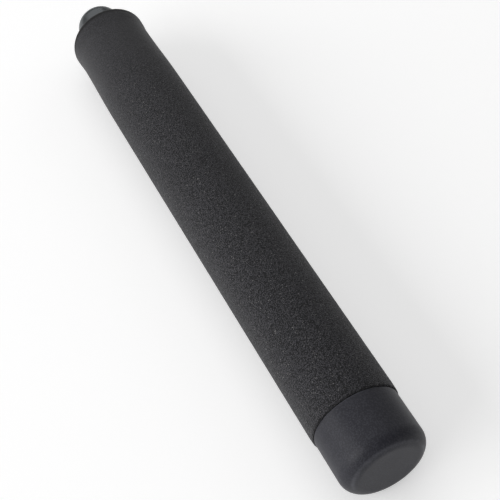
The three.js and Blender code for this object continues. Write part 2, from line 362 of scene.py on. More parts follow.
@dataclass(frozen=True)
class Finish:
    """A surface finish: a name, and what its shader's sockets get."""

    label: str

    def surface(self, graph: Graph) -> dict[str, Any]:
        """The shader's inputs.

        Args:
            graph: The material's tree.

        Returns:
            Values and sockets by the name of the shader's input.
        """
        raise NotImplementedError

    def material(self) -> bpy.types.Material:
        """Makes the material, or finds the one already made under this name.

        Returns:
            The material.
        """
        made = bpy.data.materials.get(self.label)
        if made:
            return made
        made = bpy.data.materials.new(self.label)
        made.use_nodes = True
        made.node_tree.nodes.clear()
        graph = Graph(made.node_tree)
        shader = graph.node("ShaderNodeBsdfPrincipled", inputs=self.surface(graph))
        graph.node("ShaderNodeOutputMaterial", inputs={"Surface": shader})
        return made


@dataclass(frozen=True)
class CapCoating(Finish):
    """Smooth satin coating of the butt cap, rubbed a little paler at its edges."""

    base: Colour = (0.0172, 0.0172, 0.0232)
    rubbed: Colour = (0.050, 0.051, 0.062)
    roughness: float = 0.50
    rims: tuple[Band, ...] = ((0.6, 0.5), (19.85, 0.5))
    cloud_size: float = 6.0
    grain_size: float = 0.46
    grain_depth: float = 0.052
    speck_size: float = 0.5

    def surface(self, graph: Graph) -> dict[str, Any]:
        """A fine even grain, faint clouds, and rubbed rims.

        Args:
            graph: The material's tree.

        Returns:
            Values and sockets by the name of the shader's input.
        """
        place = graph.place()
        along, _, _ = graph.axes(place)
        clouds = graph.noise(place, self.cloud_size, 3.0, seed=1.0)
        grain = graph.noise(place, self.grain_size, 3.0, seed=2.0)
        speck = graph.noise(place, self.speck_size, 1.0, seed=3.0).ramp(0.64, 0.74)
        rub = graph.bands(along, self.rims, 0.0) * clouds.ramp(0.40, 0.62) * 0.8
        cloudy = graph.colours(clouds.ramp(0.3, 0.7) * 0.5, self.base, shaded(self.base, 1.16))
        wear = rub + speck * 0.34 + grain.ramp(0.44, 0.62) * 0.42
        colour = graph.colours(wear, cloudy, self.rubbed)
        return {
            "Base Color": colour,
            "Roughness": self.roughness + (clouds - 0.5) * 0.10 + (grain - 0.5) * 0.20 - rub * 0.08,
            "Normal": graph.bump(grain, self.grain_depth),
            "IOR": 1.33,
            "Sheen Weight": 0.03,
            "Sheen Roughness": 0.35,
        }


@dataclass(frozen=True)
class FoamSkin(Finish):
    """Closed-cell foam: matt, with open pores and a pebbled grain that dies out at the front lip."""

    base: Colour = (0.0060, 0.0060, 0.0072)
    high: Colour = (0.054, 0.053, 0.060)
    # pale specks: partly dust, partly painted glints
    dust_and_glint: Colour = (0.190, 0.184, 0.180)
    front: float = 0.0  # where the sleeve ends, on the axis
    painted_lip_shade: tuple[float, float] = (3.9, 2.0)  # painted shade: the lip is painted darker between these, from the front
    smooth: tuple[float, float] = (63.9, 14.9)  # and its grain fades between these
    cell_size: float = 0.42
    cell_blur: float = 0.14
    pebble_size: float = 0.26
    patch_size: float = 14.0
    glint_size: float = 0.45
    relief: float = 0.30

    def surface(self, graph: Graph) -> dict[str, Any]:
        """Pores and pebbles of two sizes, dusty on their tops, with pale specks that are partly dust and
        partly painted glints, and painted shade on the front lip.

        Args:
            graph: The material's tree.

        Returns:
            Values and sockets by the name of the shader's input.
        """
        place = graph.place()
        along, _, _ = graph.axes(place)
        coarse = graph.cells(place, self.cell_size, self.cell_blur)
        fine = graph.noise(place, self.pebble_size, 2.0, seed=4.0)
        patches = graph.noise(place, self.patch_size, 3.0, seed=5.0)
        smooth, painted_lip_shade = (
            along.ramp(*((self.front - reach) * MM for reach in reaches))
            for reaches in (self.smooth, self.painted_lip_shade)
        )
        grainy = 1.0 - smooth * 0.82
        tops = (1.0 - coarse * 1.3) * 0.55 + fine * 0.6
        contrast = 0.35 + grainy * 0.65
        raised = 0.30 + (tops.ramp(0.38, 0.72) - 0.30) * contrast
        # pale specks that are partly dust and partly painted glints
        glints = graph.noise(place, self.glint_size, 1.0, seed=6.0).ramp(0.66, 0.74) * grainy
        colour = graph.colours(raised * (0.75 + patches * 0.5), self.base, self.high)
        colour = graph.colours(glints * 0.8, colour, self.dust_and_glint)
        # painted shade: the front lip is painted darker
        colour = graph.colours(painted_lip_shade * 0.95, colour, shaded(self.base, 0.3))
        return {
            "Base Color": colour,
            "Roughness": 0.90 - glints * 0.25 - (1.0 - grainy) * 0.20 + painted_lip_shade * 0.20,
            "Normal": graph.bump(tops * grainy, self.relief),
            "IOR": 1.34,
            "Sheen Weight": 0.14,
            "Sheen Roughness": 0.5,
        }


@dataclass(frozen=True)
class Steel(Finish):
    """Plated, oxidised or bare steel with fine tool lines, and bands rubbed bright by sliding."""

    base: Colour = (0.02, 0.02, 0.022)
    bright: Colour = (0.20, 0.20, 0.21)
    metallic: float = 0.8
    roughness: float = 0.32
    lines: Lines = Lines.TURNED
    depth: float = 0.004
    bands: tuple[Band, ...] = ()
    blotch_size: float = 5.0

    def surface(self, graph: Graph) -> dict[str, Any]:
        """Tool lines, faint blotches, and the rubbed bands.

        Args:
            graph: The material's tree.

        Returns:
            Values and sockets by the name of the shader's input.
        """
        place = graph.place()
        along, _, _ = graph.axes(place)
        tool = graph.noise(place, self.lines, 2.0, seed=7.0)
        scores = graph.noise(place, Lines.DRAWN, 1.0, seed=8.0).ramp(0.60, 0.74)
        blotches = graph.noise(place, self.blotch_size, 4.0, seed=9.0)
        rub = graph.bands(along, self.bands, 0.35)
        tone = graph.colours((tool - 0.35) * 0.8, shaded(self.base, 0.84), shaded(self.base, 1.12))
        worn = rub * (0.18 + scores * 0.62) + blotches.ramp(0.66, 0.80) * 0.10
        colour = graph.colours(worn, tone, self.bright)
        return {
            "Base Color": colour,
            "Metallic": self.metallic,
            "Roughness": self.roughness + (tool - 0.5) * 0.12 + (blotches - 0.5) * 0.10 - worn * 0.10,
            "Normal": graph.bump(tool, self.depth),
        }


@dataclass(frozen=True)
class KnobPlating(Finish):
    """Dark glossy plating of the tip knob, with a painted reflection along its side and a few handling
    marks.
    """

    base: Colour = (0.034, 0.044, 0.048)
    # painted reflection: the pale colour painted along the knob's side
    rubbed: Colour = (0.104, 0.110, 0.116)
    knob: tuple[float, float] = (0.0, 0.0)  # where the knob begins and ends, on the axis
    dome: float = 3.2  # length at its front that the painted reflection leaves out
    fade: float = 1.6  # length over which the painted reflection dies out
    waver: float = 1.2  # how unevenly it does
    marked: Colour = (0.16, 0.17, 0.17)
    roughness: float = 0.26
    smear_size: float = 3.5
    mark_size: float = 0.8
    line_depth: float = 0.0012

    def surface(self, graph: Graph) -> dict[str, Any]:
        """Faint turning lines under a smooth plating, a painted reflection that makes its side pale, and
        small dull marks.

        Args:
            graph: The material's tree.

        Returns:
            Values and sockets by the name of the shader's input.
        """
        place = graph.place()
        along, _, _ = graph.axes(place)
        lines = graph.noise(place, Lines.TURNED, 1.0, seed=10.0)
        smears = graph.noise(place, self.smear_size, 4.0, seed=11.0)
        marks = graph.noise(place, self.mark_size, 2.0, seed=12.0).ramp(0.68, 0.76)
        rear, front = self.knob
        edge = along + (smears - 0.5) * self.waver * MM
        reflection_to = front - self.dome
        # painted reflection: the knob's side is painted pale up to its dome
        side = edge.ramp(reflection_to * MM, (reflection_to - self.fade) * MM) * along.above((rear - SEAT / 2) * MM)
        colour = graph.colours(smears.ramp(0.3, 0.75), self.base, shaded(self.base, 1.35))
        colour = graph.colours(side * (0.75 + smears * 0.3), colour, self.rubbed)
        colour = graph.colours(marks * 0.25, colour, self.marked)
        return {
            "Base Color": colour,
            "Metallic": 0.85,
            "Roughness": self.roughness + smears.ramp(0.35, 0.75) * 0.09 + marks * 0.14,
            "Normal": graph.bump(lines, self.line_depth),
        }


@dataclass(frozen=True)
class Rubber(Finish):
    """Matt seal rubber with a trace of grease."""

    base: Colour = (0.010, 0.010, 0.010)
    bloomed: Colour = (0.022, 0.022, 0.022)
    bloom_size: float = 0.25
    grease_size: float = 4.0

    def surface(self, graph: Graph) -> dict[str, Any]:
        """Fine bloom, and greasy patches that shine a little.

        Args:
            graph: The material's tree.

        Returns:
            Values and sockets by the name of the shader's input.
        """
        place = graph.place()
        bloom = graph.noise(place, self.bloom_size, 3.0, seed=13.0)
        grease = graph.noise(place, self.grease_size, 2.0, seed=14.0).ramp(0.45, 0.65)
        return {
            "Base Color": graph.colours(bloom.ramp(0.4, 0.8) * 0.6, self.base, self.bloomed),
            "Roughness": 0.72 - grease * 0.34,
            "Normal": graph.bump(bloom, 0.01),
            "IOR": 1.52,
        }


@dataclass(frozen=True)
class Table(Finish):
    """Plain pale floor, lit a little from below as a light table is."""

    base: Colour = (0.86, 0.86, 0.86)
    glow: float = 0.40
    patch_size: float = 60.0

    def surface(self, graph: Graph) -> dict[str, Any]:
        """A barely uneven white.

        Args:
            graph: The material's tree.

        Returns:
            Values and sockets by the name of the shader's input.
        """
        soft = graph.noise(graph.place(), self.patch_size, 2.0, seed=15.0)
        return {
            "Base Color": graph.colours(soft * 0.5, self.base, shaded(self.base, 0.985)),
            "Roughness": 0.85,
            "Specular IOR Level": 0.2,
            "Emission Color": (1.0, 1.0, 1.0, 1.0),
            "Emission Strength": self.glow,
        }


# ---- Outlines ---------------------------------------------------------------------------------


@dataclass(frozen=True)
class Span:
    """Where a round CAD node lies on the axis, and its radius, in millimetres."""

    rear: float
    front: float
    radius: float

    @classmethod
    def of(cls, node: str, flats: int = FLATS) -> "Span":
        """Reads a node's box.

        Args:
            node: The CAD node.
            flats: How many flats it has around; one of them lies across the top.

        Returns:
            The span, with the radius of the node's corners.
        """
        low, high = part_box(node)
        return cls(low.x / MM, high.x / MM, high.z / MM / math.cos(math.pi / flats))


def is_closed(points: Sequence[Point]) -> bool:
    """Whether an outline comes back to its start: it does unless it starts on the axis."""
    return bool(points) and points[0][1] > 0


class Outline:
    """A turned piece's outline as (x, radius) points, with its corners rounded.

    One that starts on the axis ends there too. Any other comes back to its start, as a tube's does.
    """

    HOLD = 0.06  # straight bit kept beside every rounding, so that flats shade flat

    def __init__(self) -> None:
        """Starts with no points."""
        self.corners: list[tuple[Point, float]] = []

    def to(self, x: float, radius: float, rounding: float = 0.0) -> "Outline":
        """Adds a corner.

        Args:
            x: Its place on the axis.
            radius: Its distance from the axis.
            rounding: The radius that the corner is rounded to.

        Returns:
            The outline itself.
        """
        self.corners.append(((x, radius), rounding))
        return self

    def curve(self, shape: Callable[[float], Point], steps: int) -> "Outline":
        """Adds the points of a smooth run.

        Args:
            shape: Gives a point for a number from 0 to 1.
            steps: How many parts the run has.

        Returns:
            The outline itself.
        """
        for i in range(steps + 1):
            self.corners.append((shape(i / steps), 0.0))
        return self

    def points(
        self, steps: int = 7, longest: Optional[float] = None, beyond: float = 0.0
    ) -> list[Point]:
        """Works out the outline.

        Args:
            steps: How many parts each rounding has.
            longest: The longest part that a straight run is left with.
            beyond: The radius beyond which runs are cut to that length.

        Returns:
            The outline's points, in order.
        """
        count = len(self.corners)
        closed = is_closed([corner for corner, _ in self.corners])
        found: list[Point] = []
        for i, (corner, rounding) in enumerate(self.corners):
            inner = closed or 0 < i < count - 1
            if not rounding or not inner:
                found.append(corner)
                continue
            before = self.corners[i - 1][0]
            after = self.corners[(i + 1) % count][0]
            found.extend(self._round(before, corner, after, rounding, steps))
        if closed:
            found.append(found[0])
        if longest:
            found = self._divide(found, longest, beyond)
        return found[:-1] if closed else found

    @classmethod
    def _round(cls, before: Point, corner: Point, after: Point, rounding: float, steps: int) -> list[Point]:
        """Rounds one corner with a true arc.

        Args:
            before: The point before the corner.
            corner: The corner.
            after: The point after it.
            rounding: The arc's radius.
            steps: How many parts the arc has.

        Returns:
            The arc's points, with a holding point at each end.
        """
        middle = Vector(corner)
        into = (Vector(before) - middle).normalized()
        away = (Vector(after) - middle).normalized()
        half = into.angle(away) / 2
        run = rounding / math.tan(half)
        centre = middle + (into + away).normalized() * (rounding / math.sin(half))
        first = middle + into * run - centre
        turn = first.angle_signed(middle + away * run - centre)
        arc = [centre + Matrix.Rotation(-turn * i / steps, 2) @ first for i in range(steps + 1)]
        hold = min(cls.HOLD, rounding / 2)
        return [tuple(p) for p in (arc[0] + into * hold, *arc, arc[-1] + away * hold)]

    @staticmethod
    def _divide(points: list[Point], longest: float, beyond: float) -> list[Point]:
        """Cuts long straight runs into even parts.

        Args:
            points: The outline.
            longest: The longest part that may be left.
            beyond: The radius beyond which runs are cut.

        Returns:
            The outline with the points between.
        """
        found = [points[0]]
        for start, end in zip(points, points[1:]):
            outside = min(start[1], end[1]) > beyond
            parts = max(1, math.ceil(math.dist(start, end) / longest)) if outside else 1
            for k in range(1, parts + 1):
                t = k / parts
                found.append((start[0] + (end[0] - start[0]) * t, start[1] + (end[1] - start[1]) * t))
        return found


def quarter(start: Point, run: float, drop: float) -> Callable[[float], Point]:
    """A quarter of an ellipse, from along the axis to across it.

    Args:
        start: Where it begins.
        run: How far it goes along the axis.
        drop: How far it falls towards the axis.

    Returns:
        The quarter, as a function of a number from 0 to 1.
    """
    turn = math.pi / 2
    return lambda t: (start[0] + run * math.sin(turn * t), start[1] - drop * (1 - math.cos(turn * t)))


def s_curve(first: Point, last: Point) -> Callable[[float], Point]:
    """A smooth S-shaped run between two points.

    Args:
        first: Where it begins.
        last: Where it ends.

    Returns:
        The run, as a function of a number from 0 to 1.
    """
    along = last[0] - first[0]
    across = last[1] - first[1]
    return lambda t: (first[0] + along * t, first[1] + across * (1 - math.cos(math.pi * t)) / 2)


# ---- Geometry trees ---------------------------------------------------------------------------


class Form:
    """A geometry tree with named inputs, and a way to make plain meshes with it."""

    def __init__(self, label: str, inputs: dict[str, str]) -> None:
        """Starts the tree with its inputs.

        Args:
            label: The tree's name.
            inputs: The kind of each input, by its name.
        """
        tree = bpy.data.node_groups.new(label, "GeometryNodeTree")
        tree.interface.new_socket("Geometry", in_out="INPUT", socket_type="NodeSocketGeometry")
        self.inputs = {
            name: tree.interface.new_socket(name, in_out="INPUT", socket_type=f"NodeSocket{kind}")
            for name, kind in inputs.items()
        }
        tree.interface.new_socket("Geometry", in_out="OUTPUT", socket_type="NodeSocketGeometry")
        self.tree = tree
        self.graph = Graph(tree)
        self.given = self.graph.node("NodeGroupInput")

    def input(self, name: str) -> Value:
        """One of the tree's inputs, as a number that takes arithmetic."""
        return self.graph.number(self.given, name)

    def finish(self, geometry: Any) -> None:
        """Ends the tree: doubles merged, smooth, real and with its material.

        Args:
            geometry: The node that gives the finished shape.
        """
        graph = self.graph
        merged = self.merged(geometry)
        smooth = graph.node("GeometryNodeSetShadeSmooth", inputs={"Geometry": merged})
        real = graph.node("GeometryNodeRealizeInstances", inputs={"Geometry": smooth})
        dressed = graph.node(
            "GeometryNodeSetMaterial",
            inputs={"Geometry": real, "Material": self.given.outputs["Material"]},
        )
        graph.node("NodeGroupOutput", inputs={"Geometry": dressed})

    def merged(self, geometry: Any) -> bpy.types.Node:
        """A shape with its double points made one."""
        inputs = {"Geometry": geometry, "Distance": MERGE}
        return self.graph.node("GeometryNodeMergeByDistance", inputs=inputs)

    def turned_to_axis(self, geometry: Any) -> bpy.types.Node:
        """Lays a shape made about Z along X, so that up becomes forward."""
        inputs = {"Geometry": geometry, "Rotation": (0.0, math.pi / 2, 0.0)}
        return self.graph.node("GeometryNodeTransform", inputs=inputs)

    def make(
        self, name: str, points: Sequence[Point], finish: Finish, **values: Any
    ) -> bpy.types.Object:
        """Runs the tree on an outline and keeps the result as a plain mesh.

        Args:
            name: The new object's name.
            points: The outline in millimetres; it may be empty.
            finish: The finish that it is dressed in.
            values: The tree's inputs, with _ for a space in a name.

        Returns:
            The new object, at the origin, with its normals outwards.
        """
        host_mesh = bpy.data.meshes.new(f"{name}_outline")
        edges = [(i, i + 1) for i in range(len(points) - 1)]
        if is_closed(points):
            edges.append((len(points) - 1, 0))
        host_mesh.from_pydata([(x * MM, r * MM, 0.0) for x, r in points], edges, [])
        host = bpy.data.objects.new(f"{name}_outline", host_mesh)
        bpy.context.scene.collection.objects.link(host)
        modifier = host.modifiers.new("form", "NODES")
        modifier.node_group = self.tree
        values["Material"] = finish.material()
        for key, value in values.items():
            modifier[self.inputs[key.replace("_", " ")].identifier] = value
        evaluated = host.evaluated_get(bpy.context.evaluated_depsgraph_get())
        mesh = bpy.data.meshes.new_from_object(evaluated)
        host.modifiers.remove(modifier)
        bpy.data.objects.remove(host)
        bpy.data.meshes.remove(host_mesh)
        return as_object(name, mesh)


class TurnedForm(Form):
    """Turns an outline about the X axis."""

    def __init__(self) -> None:
        """Builds the tree."""
        super().__init__("turned_piece", {"Sides": "Int", "Material": "Material"})
        self.finish(self.lathe())

    def lathe(self) -> bpy.types.Node:
        """Turns the outline.

        Returns:
            The node that gives the turned surface, along X.
        """
        graph = self.graph
        line = graph.node("GeometryNodeMeshToCurve", inputs={0: self.given})
        seated = graph.node(
            "GeometryNodeTransform",
            inputs={"Geometry": line, "Rotation": (0.0, 0.0, -math.pi / 2), "Translation": (-1.0, 0.0, 0.0)},
        )
        round_path = graph.node(
            "GeometryNodeCurvePrimitiveCircle",
            {"mode": "RADIUS"},
            {"Resolution": self.input("Sides"), "Radius": 1.0},
        )
        inputs = {"Curve": round_path, "Profile Curve": seated}
        return self.turned_to_axis(graph.node("GeometryNodeCurveToMesh", inputs=inputs))


class PebbledForm(TurnedForm):
    """Turns an outline and raises pebbles on its outer skin, as foam has."""

    SKIN_FADE = 0.5 * MM  # depth over which the pebbles begin
    LEFT = 0.25  # part of their height that is left at the smooth end

    def __init__(self) -> None:
        """Builds the tree."""
        kinds = {
            "Sides": "Int",
            "Skin From": "Float",
            "Pebble": "Float",
            "Height": "Float",
            "Smooth From": "Float",
            "Smooth To": "Float",
            "Seed": "Float",
            "Material": "Material",
        }
        Form.__init__(self, "pebbled_sleeve", kinds)
        graph = self.graph
        merged = self.merged(self.lathe())
        place = graph.node("GeometryNodeInputPosition").outputs[0]
        along, across, up = graph.axes(place)
        outer = ((across * across + up * up) ** 0.5 - self.input("Skin From")) * (1.0 / self.SKIN_FADE)
        scale = 1.0 / self.input("Pebble")
        inputs = {"Vector": place, "W": self.input("Seed"), "Scale": scale, "Detail": 2.0}
        lumps = graph.number(graph.node("ShaderNodeTexNoise", {"noise_dimensions": "4D"}, inputs))
        smooth = graph.eased(along, self.input("Smooth From"), self.input("Smooth To"))
        fade = 1.0 - smooth * (1.0 - self.LEFT)
        rise = (lumps - 0.5) * self.input("Height") * fade * outer.ramp(0.0, 1.0)
        normal = graph.node("GeometryNodeInputNormal").outputs[0]
        push = graph.node("ShaderNodeVectorMath", {"operation": "SCALE"}, {0: normal, "Scale": rise})
        self.finish(graph.node("GeometryNodeSetPosition", inputs={"Geometry": merged, "Offset": push}))


class RidgeForm(Form):
    """Winds a thread's ridge about the X axis, right-handed, running out at both ends."""

    THIN_END = 0.04  # how much of its section is left at its very end

    def __init__(self) -> None:
        """Builds the tree."""
        kinds = {
            "Steps": "Int",
            "Turns": "Float",
            "Pitch": "Float",
            "Start": "Float",
            "Root": "Float",
            "Depth": "Float",
            "Root Width": "Float",
            "Crest Width": "Float",
            "Run Out": "Float",
            "Material": "Material",
        }
        super().__init__("thread_ridge", kinds)
        graph = self.graph
        root = self.input("Root")
        spiral = graph.node(
            "GeometryNodeCurveSpiral",
            inputs={
                "Resolution": self.input("Steps"),
                "Rotations": self.input("Turns"),
                "Start Radius": root,
                "End Radius": root,
                "Height": self.input("Turns") * self.input("Pitch"),
                "Reverse": True,
            },
        )
        upright = graph.node("GeometryNodeSetCurveNormal", {"mode": "Z_UP"}, {"Curve": spiral})
        half_root = self.input("Root Width") * 0.5
        half_crest = self.input("Crest Width") * 0.5
        depth = self.input("Depth")
        rising = ((0.0, half_root * -1.0), (depth, half_crest * -1.0))
        falling = ((depth, half_crest), (0.0, half_root))
        corners = {
            f"Point {i}": graph.node("ShaderNodeCombineXYZ", inputs={"X": x, "Y": y})
            for i, (x, y) in enumerate(rising + falling, 1)
        }
        section = graph.node("GeometryNodeCurvePrimitiveQuadrilateral", {"mode": "POINTS"}, corners)
        turn = graph.number(graph.node("GeometryNodeSplineParameter"), "Factor") * self.input("Turns")
        from_ends = turn.least(self.input("Turns") - turn)
        scale = graph.eased(from_ends, 0.0, self.input("Run Out"), self.THIN_END)
        ridge = graph.node(
            "GeometryNodeCurveToMesh",
            inputs={"Curve": upright, "Profile Curve": section, "Scale": scale, "Fill Caps": True},
        )
        shift = graph.node("ShaderNodeCombineXYZ", inputs={"Z": self.input("Start")})
        moved = graph.node("GeometryNodeTransform", inputs={"Geometry": ridge, "Translation": shift})
        self.finish(self.turned_to_axis(moved))


class StripForm(Form):
    """Sweeps a strip's rounded section along a bent path in the XZ plane."""

    def __init__(self) -> None:
        """Builds the tree."""
        kinds = {"Width": "Float", "Thickness": "Float", "Edge": "Float", "Material": "Material"}
        super().__init__("bent_strip", kinds)
        graph = self.graph
        line = graph.node("GeometryNodeMeshToCurve", inputs={0: self.given})
        inputs = {"Geometry": line, "Rotation": (math.pi / 2, 0.0, 0.0)}
        standing = graph.node("GeometryNodeTransform", inputs=inputs)
        sizes = {"Width": self.input("Width"), "Height": self.input("Thickness")}
        section = graph.node("GeometryNodeCurvePrimitiveQuadrilateral", {"mode": "RECTANGLE"}, sizes)
        rounded = graph.node(
            "GeometryNodeFilletCurve",
            {"mode": "POLY"},
            {"Curve": section, "Count": 3, "Radius": self.input("Edge")},
        )
        inputs = {"Curve": standing, "Profile Curve": rounded, "Fill Caps": True}
        self.finish(graph.node("GeometryNodeCurveToMesh", inputs=inputs))


@dataclass
class Shop:
    """The geometry trees that the pieces are made with."""

    turned: TurnedForm = field(default_factory=TurnedForm)
    pebbled: PebbledForm = field(default_factory=PebbledForm)
    ridge: RidgeForm = field(default_factory=RidgeForm)
    strip: StripForm = field(default_factory=StripForm)


# ---- Mesh helpers -----------------------------------------------------------------------------


def as_object(name: str, mesh: bpy.types.Mesh) -> bpy.types.Object:
    """Links a mesh as an object at the origin, with its normals outwards.

    Args:
        name: The object's name.
        mesh: A closed mesh in metres.

    Returns:
        The new object.
    """
    shape = bmesh.new()
    shape.from_mesh(mesh)
    bmesh.ops.recalc_face_normals(shape, faces=shape.faces)
    shape.to_mesh(mesh)
    shape.free()
    mesh.name = name
    piece = bpy.data.objects.new(name, mesh)
    bpy.context.scene.collection.objects.link(piece)
    return piece


def cut(piece: bpy.types.Object, cutters: Iterable[bpy.types.Object]) -> bpy.types.Object:
    """Cuts closed shapes out of a piece.

    Args:
        piece: The piece; it is removed.
        cutters: The shapes; they are removed.

    Returns:
        The cut piece, under the same name, as a plain mesh.
    """
    name = piece.name
    cutters = list(cutters)
    for cutter in cutters:
        modifier = piece.modifiers.new("cut", "BOOLEAN")
        modifier.operation = "DIFFERENCE"
        modifier.solver = "EXACT"
        modifier.object = cutter
    bpy.context.view_layer.update()
    mesh = bpy.data.meshes.new_from_object(piece.evaluated_get(bpy.context.evaluated_depsgraph_get()))
    for leftover in (piece, *cutters):
        bpy.data.objects.remove(leftover)
    for face in mesh.polygons:
        face.use_smooth = True
    mesh.set_sharp_from_angle(angle=SHARP)
    return as_object(name, mesh)


def settle(piece: bpy.types.Object, body: Body, slot: Slot, *nodes: str) -> bpy.types.Object:
    """Fixes a finished piece to its body, and reports it.

    Args:
        piece: The finished piece.
        body: The body that it rides on.
        slot: The material slot that it takes its finish from; not used.
        nodes: The CAD nodes that it stands for.

    Returns:
        The piece.
    """
    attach(piece, body.value)
    if nodes:
        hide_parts(*nodes)
    piece.data.calc_loop_triangles()
    log.info("%s rides on %s, %d triangles", piece.name, body.value, len(piece.data.loop_triangles))
    return piece


# ---- Sub-assemblies ---------------------------------------------------------------------------


@dataclass
class Assembly:
    """A sub-assembly, made with the shop's geometry trees. Sizes in millimetres."""

    shop: Shop

    def build(self) -> None:
        """Builds, dresses and settles every piece."""
        raise NotImplementedError


@dataclass
class Thread:
    """A thread's ridge. Sizes in millimetres."""

    name: str
    start: float
    end: float
    root: float
    crest: float
    pitch: float
    root_width: float
    crest_width: float
    run_out: float = 0.35
    steps: int = 48

    def make(self, shop: Shop, finish: Finish) -> bpy.types.Object:
        """Winds the ridge.

        Args:
            shop: The geometry trees.
            finish: The finish that it is dressed in.

        Returns:
            The ridge's object.
        """
        turns = (self.end - self.start) / self.pitch
        return shop.ridge.make(
            self.name,
            (),
            finish,
            Steps=self.steps,
            Turns=turns,
            Pitch=self.pitch * MM,
            Start=self.start * MM,
            Root=self.root * MM,
            Depth=(self.crest - self.root) * MM,
            Root_Width=self.root_width * MM,
            Crest_Width=self.crest_width * MM,
            Run_Out=self.run_out,
        )


@dataclass
class ButtCap(Assembly):
    """The screw-on cap, its thread, its sealing ring, and the clip that holds the shaft in."""

    shell: Span = field(default_factory=lambda: Span.of("butt_cap"))
    ring: Span = field(default_factory=lambda: Span.of("cap_o_ring"))
    clip: Span = field(default_factory=lambda: Span.of("retaining_clip"))
    washer: Span = field(default_factory=lambda: Span.of("clip_washer", 24))
    screw: Span = field(default_factory=lambda: Span.of("clip_screw", 24))
    body_length: float = 20.0
    rear_round: float = 5.1
    rim_flat: float = 0.6  # flat ring kept inside the rear rounding
    front_break: float = 0.35
    neck: float = 10.6
    spigot: float = 10.45
    threaded: float = 8.3  # length of the spigot that the thread may take
    thread_root: float = 10.38
    thread_crest: float = 11.42
    thread_lead: float = 1.125  # length of it that comes before the thread's ridge
    thread_run: float = 6.525  # length that the ridge takes
    pitch: float = 1.5
    hollow: float = 8.8
    floor: float = 8.0
    screw_hole: float = 1.75
    drill_tip: float = 0.9
    drill_half: float = 1.0  # half the length of the cutter for the clip's hole
    ring_section: float = 1.6
    ring_steps: int = 32
    ring_flash: float = 0.035  # height of the mould's parting line
    clip_width: float = 5.2
    clip_thickness: float = 0.8
    clip_edge: float = 0.22
    clip_bend: float = 1.0
    clip_side_gap: float = 0.6
    bow_length: float = 12.0
    bow_lead: float = 0.5
    bow_steps: int = 22
    bow_worn: float = 7.0  # half the length that the shaft rubs
    screw_shank: float = 1.3
    screw_root: float = 1.22
    screw_crest: float = 1.46
    screw_pitch: float = 0.5
    head_dome: tuple[float, float] = (0.75, 0.7)  # how far its top stands up, and is drawn in
    key_depth: float = 1.1  # depth of the hexagon socket
    key_radius: float = 1.36
    key_tip: float = 0.35
    key_chamfer: float = 0.12
    coating: Finish = CapCoating("satin_black_coating")
    rubber: Finish = Rubber("seal_rubber")
    zinc: Finish = Steel("zinc_plate", (0.50, 0.51, 0.53), (0.70, 0.70, 0.70), 0.95, 0.34, depth=0.003)

    @property
    def spring(self) -> Finish:
        """The clip's spring steel, bright where the shaft slides over its bows.

        Returns:
            The finish.
        """
        worn = (self.clip.front - self.bow_length / 2, self.bow_worn)
        pale, bright = (0.42, 0.43, 0.45), (0.62, 0.62, 0.63)
        return Steel("spring_steel", pale, bright, 0.95, 0.28, Lines.DRAWN, 0.003, (worn,))

    def build(self) -> None:
        """Builds and dresses every piece of the cap."""
        settle(self.make_shell(), Body.CAP, Slot.CAP, "butt_cap")
        settle(self.make_thread(), Body.CAP, Slot.CAP)
        settle(self.make_ring(), Body.SEAL, Slot.RUBBER, "cap_o_ring")
        settle(self.make_clip(), Body.CAP, Slot.SPRING, "retaining_clip")
        settle(self.make_washer(), Body.CAP, Slot.ZINC, "clip_washer")
        settle(self.make_screw(), Body.CAP, Slot.ZINC, "clip_screw")
        settle(self.make_screw_thread(), Body.CAP, Slot.ZINC)

    def make_shell(self) -> bpy.types.Object:
        """Makes the cap's shell: a rounded cup with a spigot, hollow inside, tapped in its floor.

        Returns:
            The new object.
        """
        thread_start = self.shell.front - self.threaded
        outline = (
            Outline()
            .to(0.0, 0.0)
            .to(0.0, self.shell.radius - self.rear_round - self.rim_flat)
            .to(0.0, self.shell.radius, self.rear_round)
            .to(self.body_length, self.shell.radius, self.front_break)
            .to(self.body_length, self.neck, 0.15)
            .to(thread_start, self.neck, 0.08)
            .to(thread_start, self.spigot, 0.06)
            .to(self.shell.front, self.spigot, 0.45)
            .to(self.shell.front, self.hollow, 0.3)
            .to(self.floor, self.hollow, 0.5)
            .to(self.floor, self.screw_hole, 0.25)
            .to(self.screw.rear - SEAT, self.screw_hole, 0.2)
            .to(self.screw.rear - SEAT - self.drill_tip, 0.0)
        )
        return self.shop.turned.make("cap_shell", outline.points(12), self.coating, Sides=SMOOTH)

    def make_thread(self) -> bpy.types.Object:
        """Makes the cap's thread, with its crest where the CAD thread's is.

        Returns:
            The new object.
        """
        start = self.shell.front - self.threaded + self.thread_lead
        thread = Thread(
            name="cap_thread",
            start=start,
            end=start + self.thread_run,
            root=self.thread_root,
            crest=self.thread_crest,
            pitch=self.pitch,
            root_width=0.95,
            crest_width=0.22,
        )
        return thread.make(self.shop, self.coating)

    def make_ring(self) -> bpy.types.Object:
        """Makes the sealing ring, with the fine parting line that its mould leaves.

        Returns:
            The new object.
        """
        radius = self.ring_section / 2
        middle = ((self.ring.rear + self.ring.front) / 2, self.ring.radius - radius)
        points = []
        for i in range(self.ring_steps):
            turn = 2 * math.pi * i / self.ring_steps
            parting = i % (self.ring_steps // 2) == self.ring_steps // 4
            reach = radius + (self.ring_flash if parting else 0.0)
            points.append((middle[0] + radius * math.cos(turn), middle[1] + reach * math.sin(turn)))
        return self.shop.turned.make("sealing_ring", points, self.rubber, Sides=MEDIUM)

    def make_clip(self) -> bpy.types.Object:
        """Makes the bent spring strip with its two bowed legs and the hole for its screw.

        Returns:
            The new object.
        """
        base = self.clip.rear + self.clip_thickness / 2
        _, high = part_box("retaining_clip")
        peak = high.z / MM - self.clip_thickness / 2
        leg = self.washer.radius + self.clip_side_gap + self.clip_thickness / 2
        bow_start = self.clip.front - self.bow_length

        def bowed(t: float) -> Point:
            """The bowed end of a leg."""
            return (bow_start + self.bow_length * t, leg + (peak - leg) * math.sin(math.pi * t) ** 2)

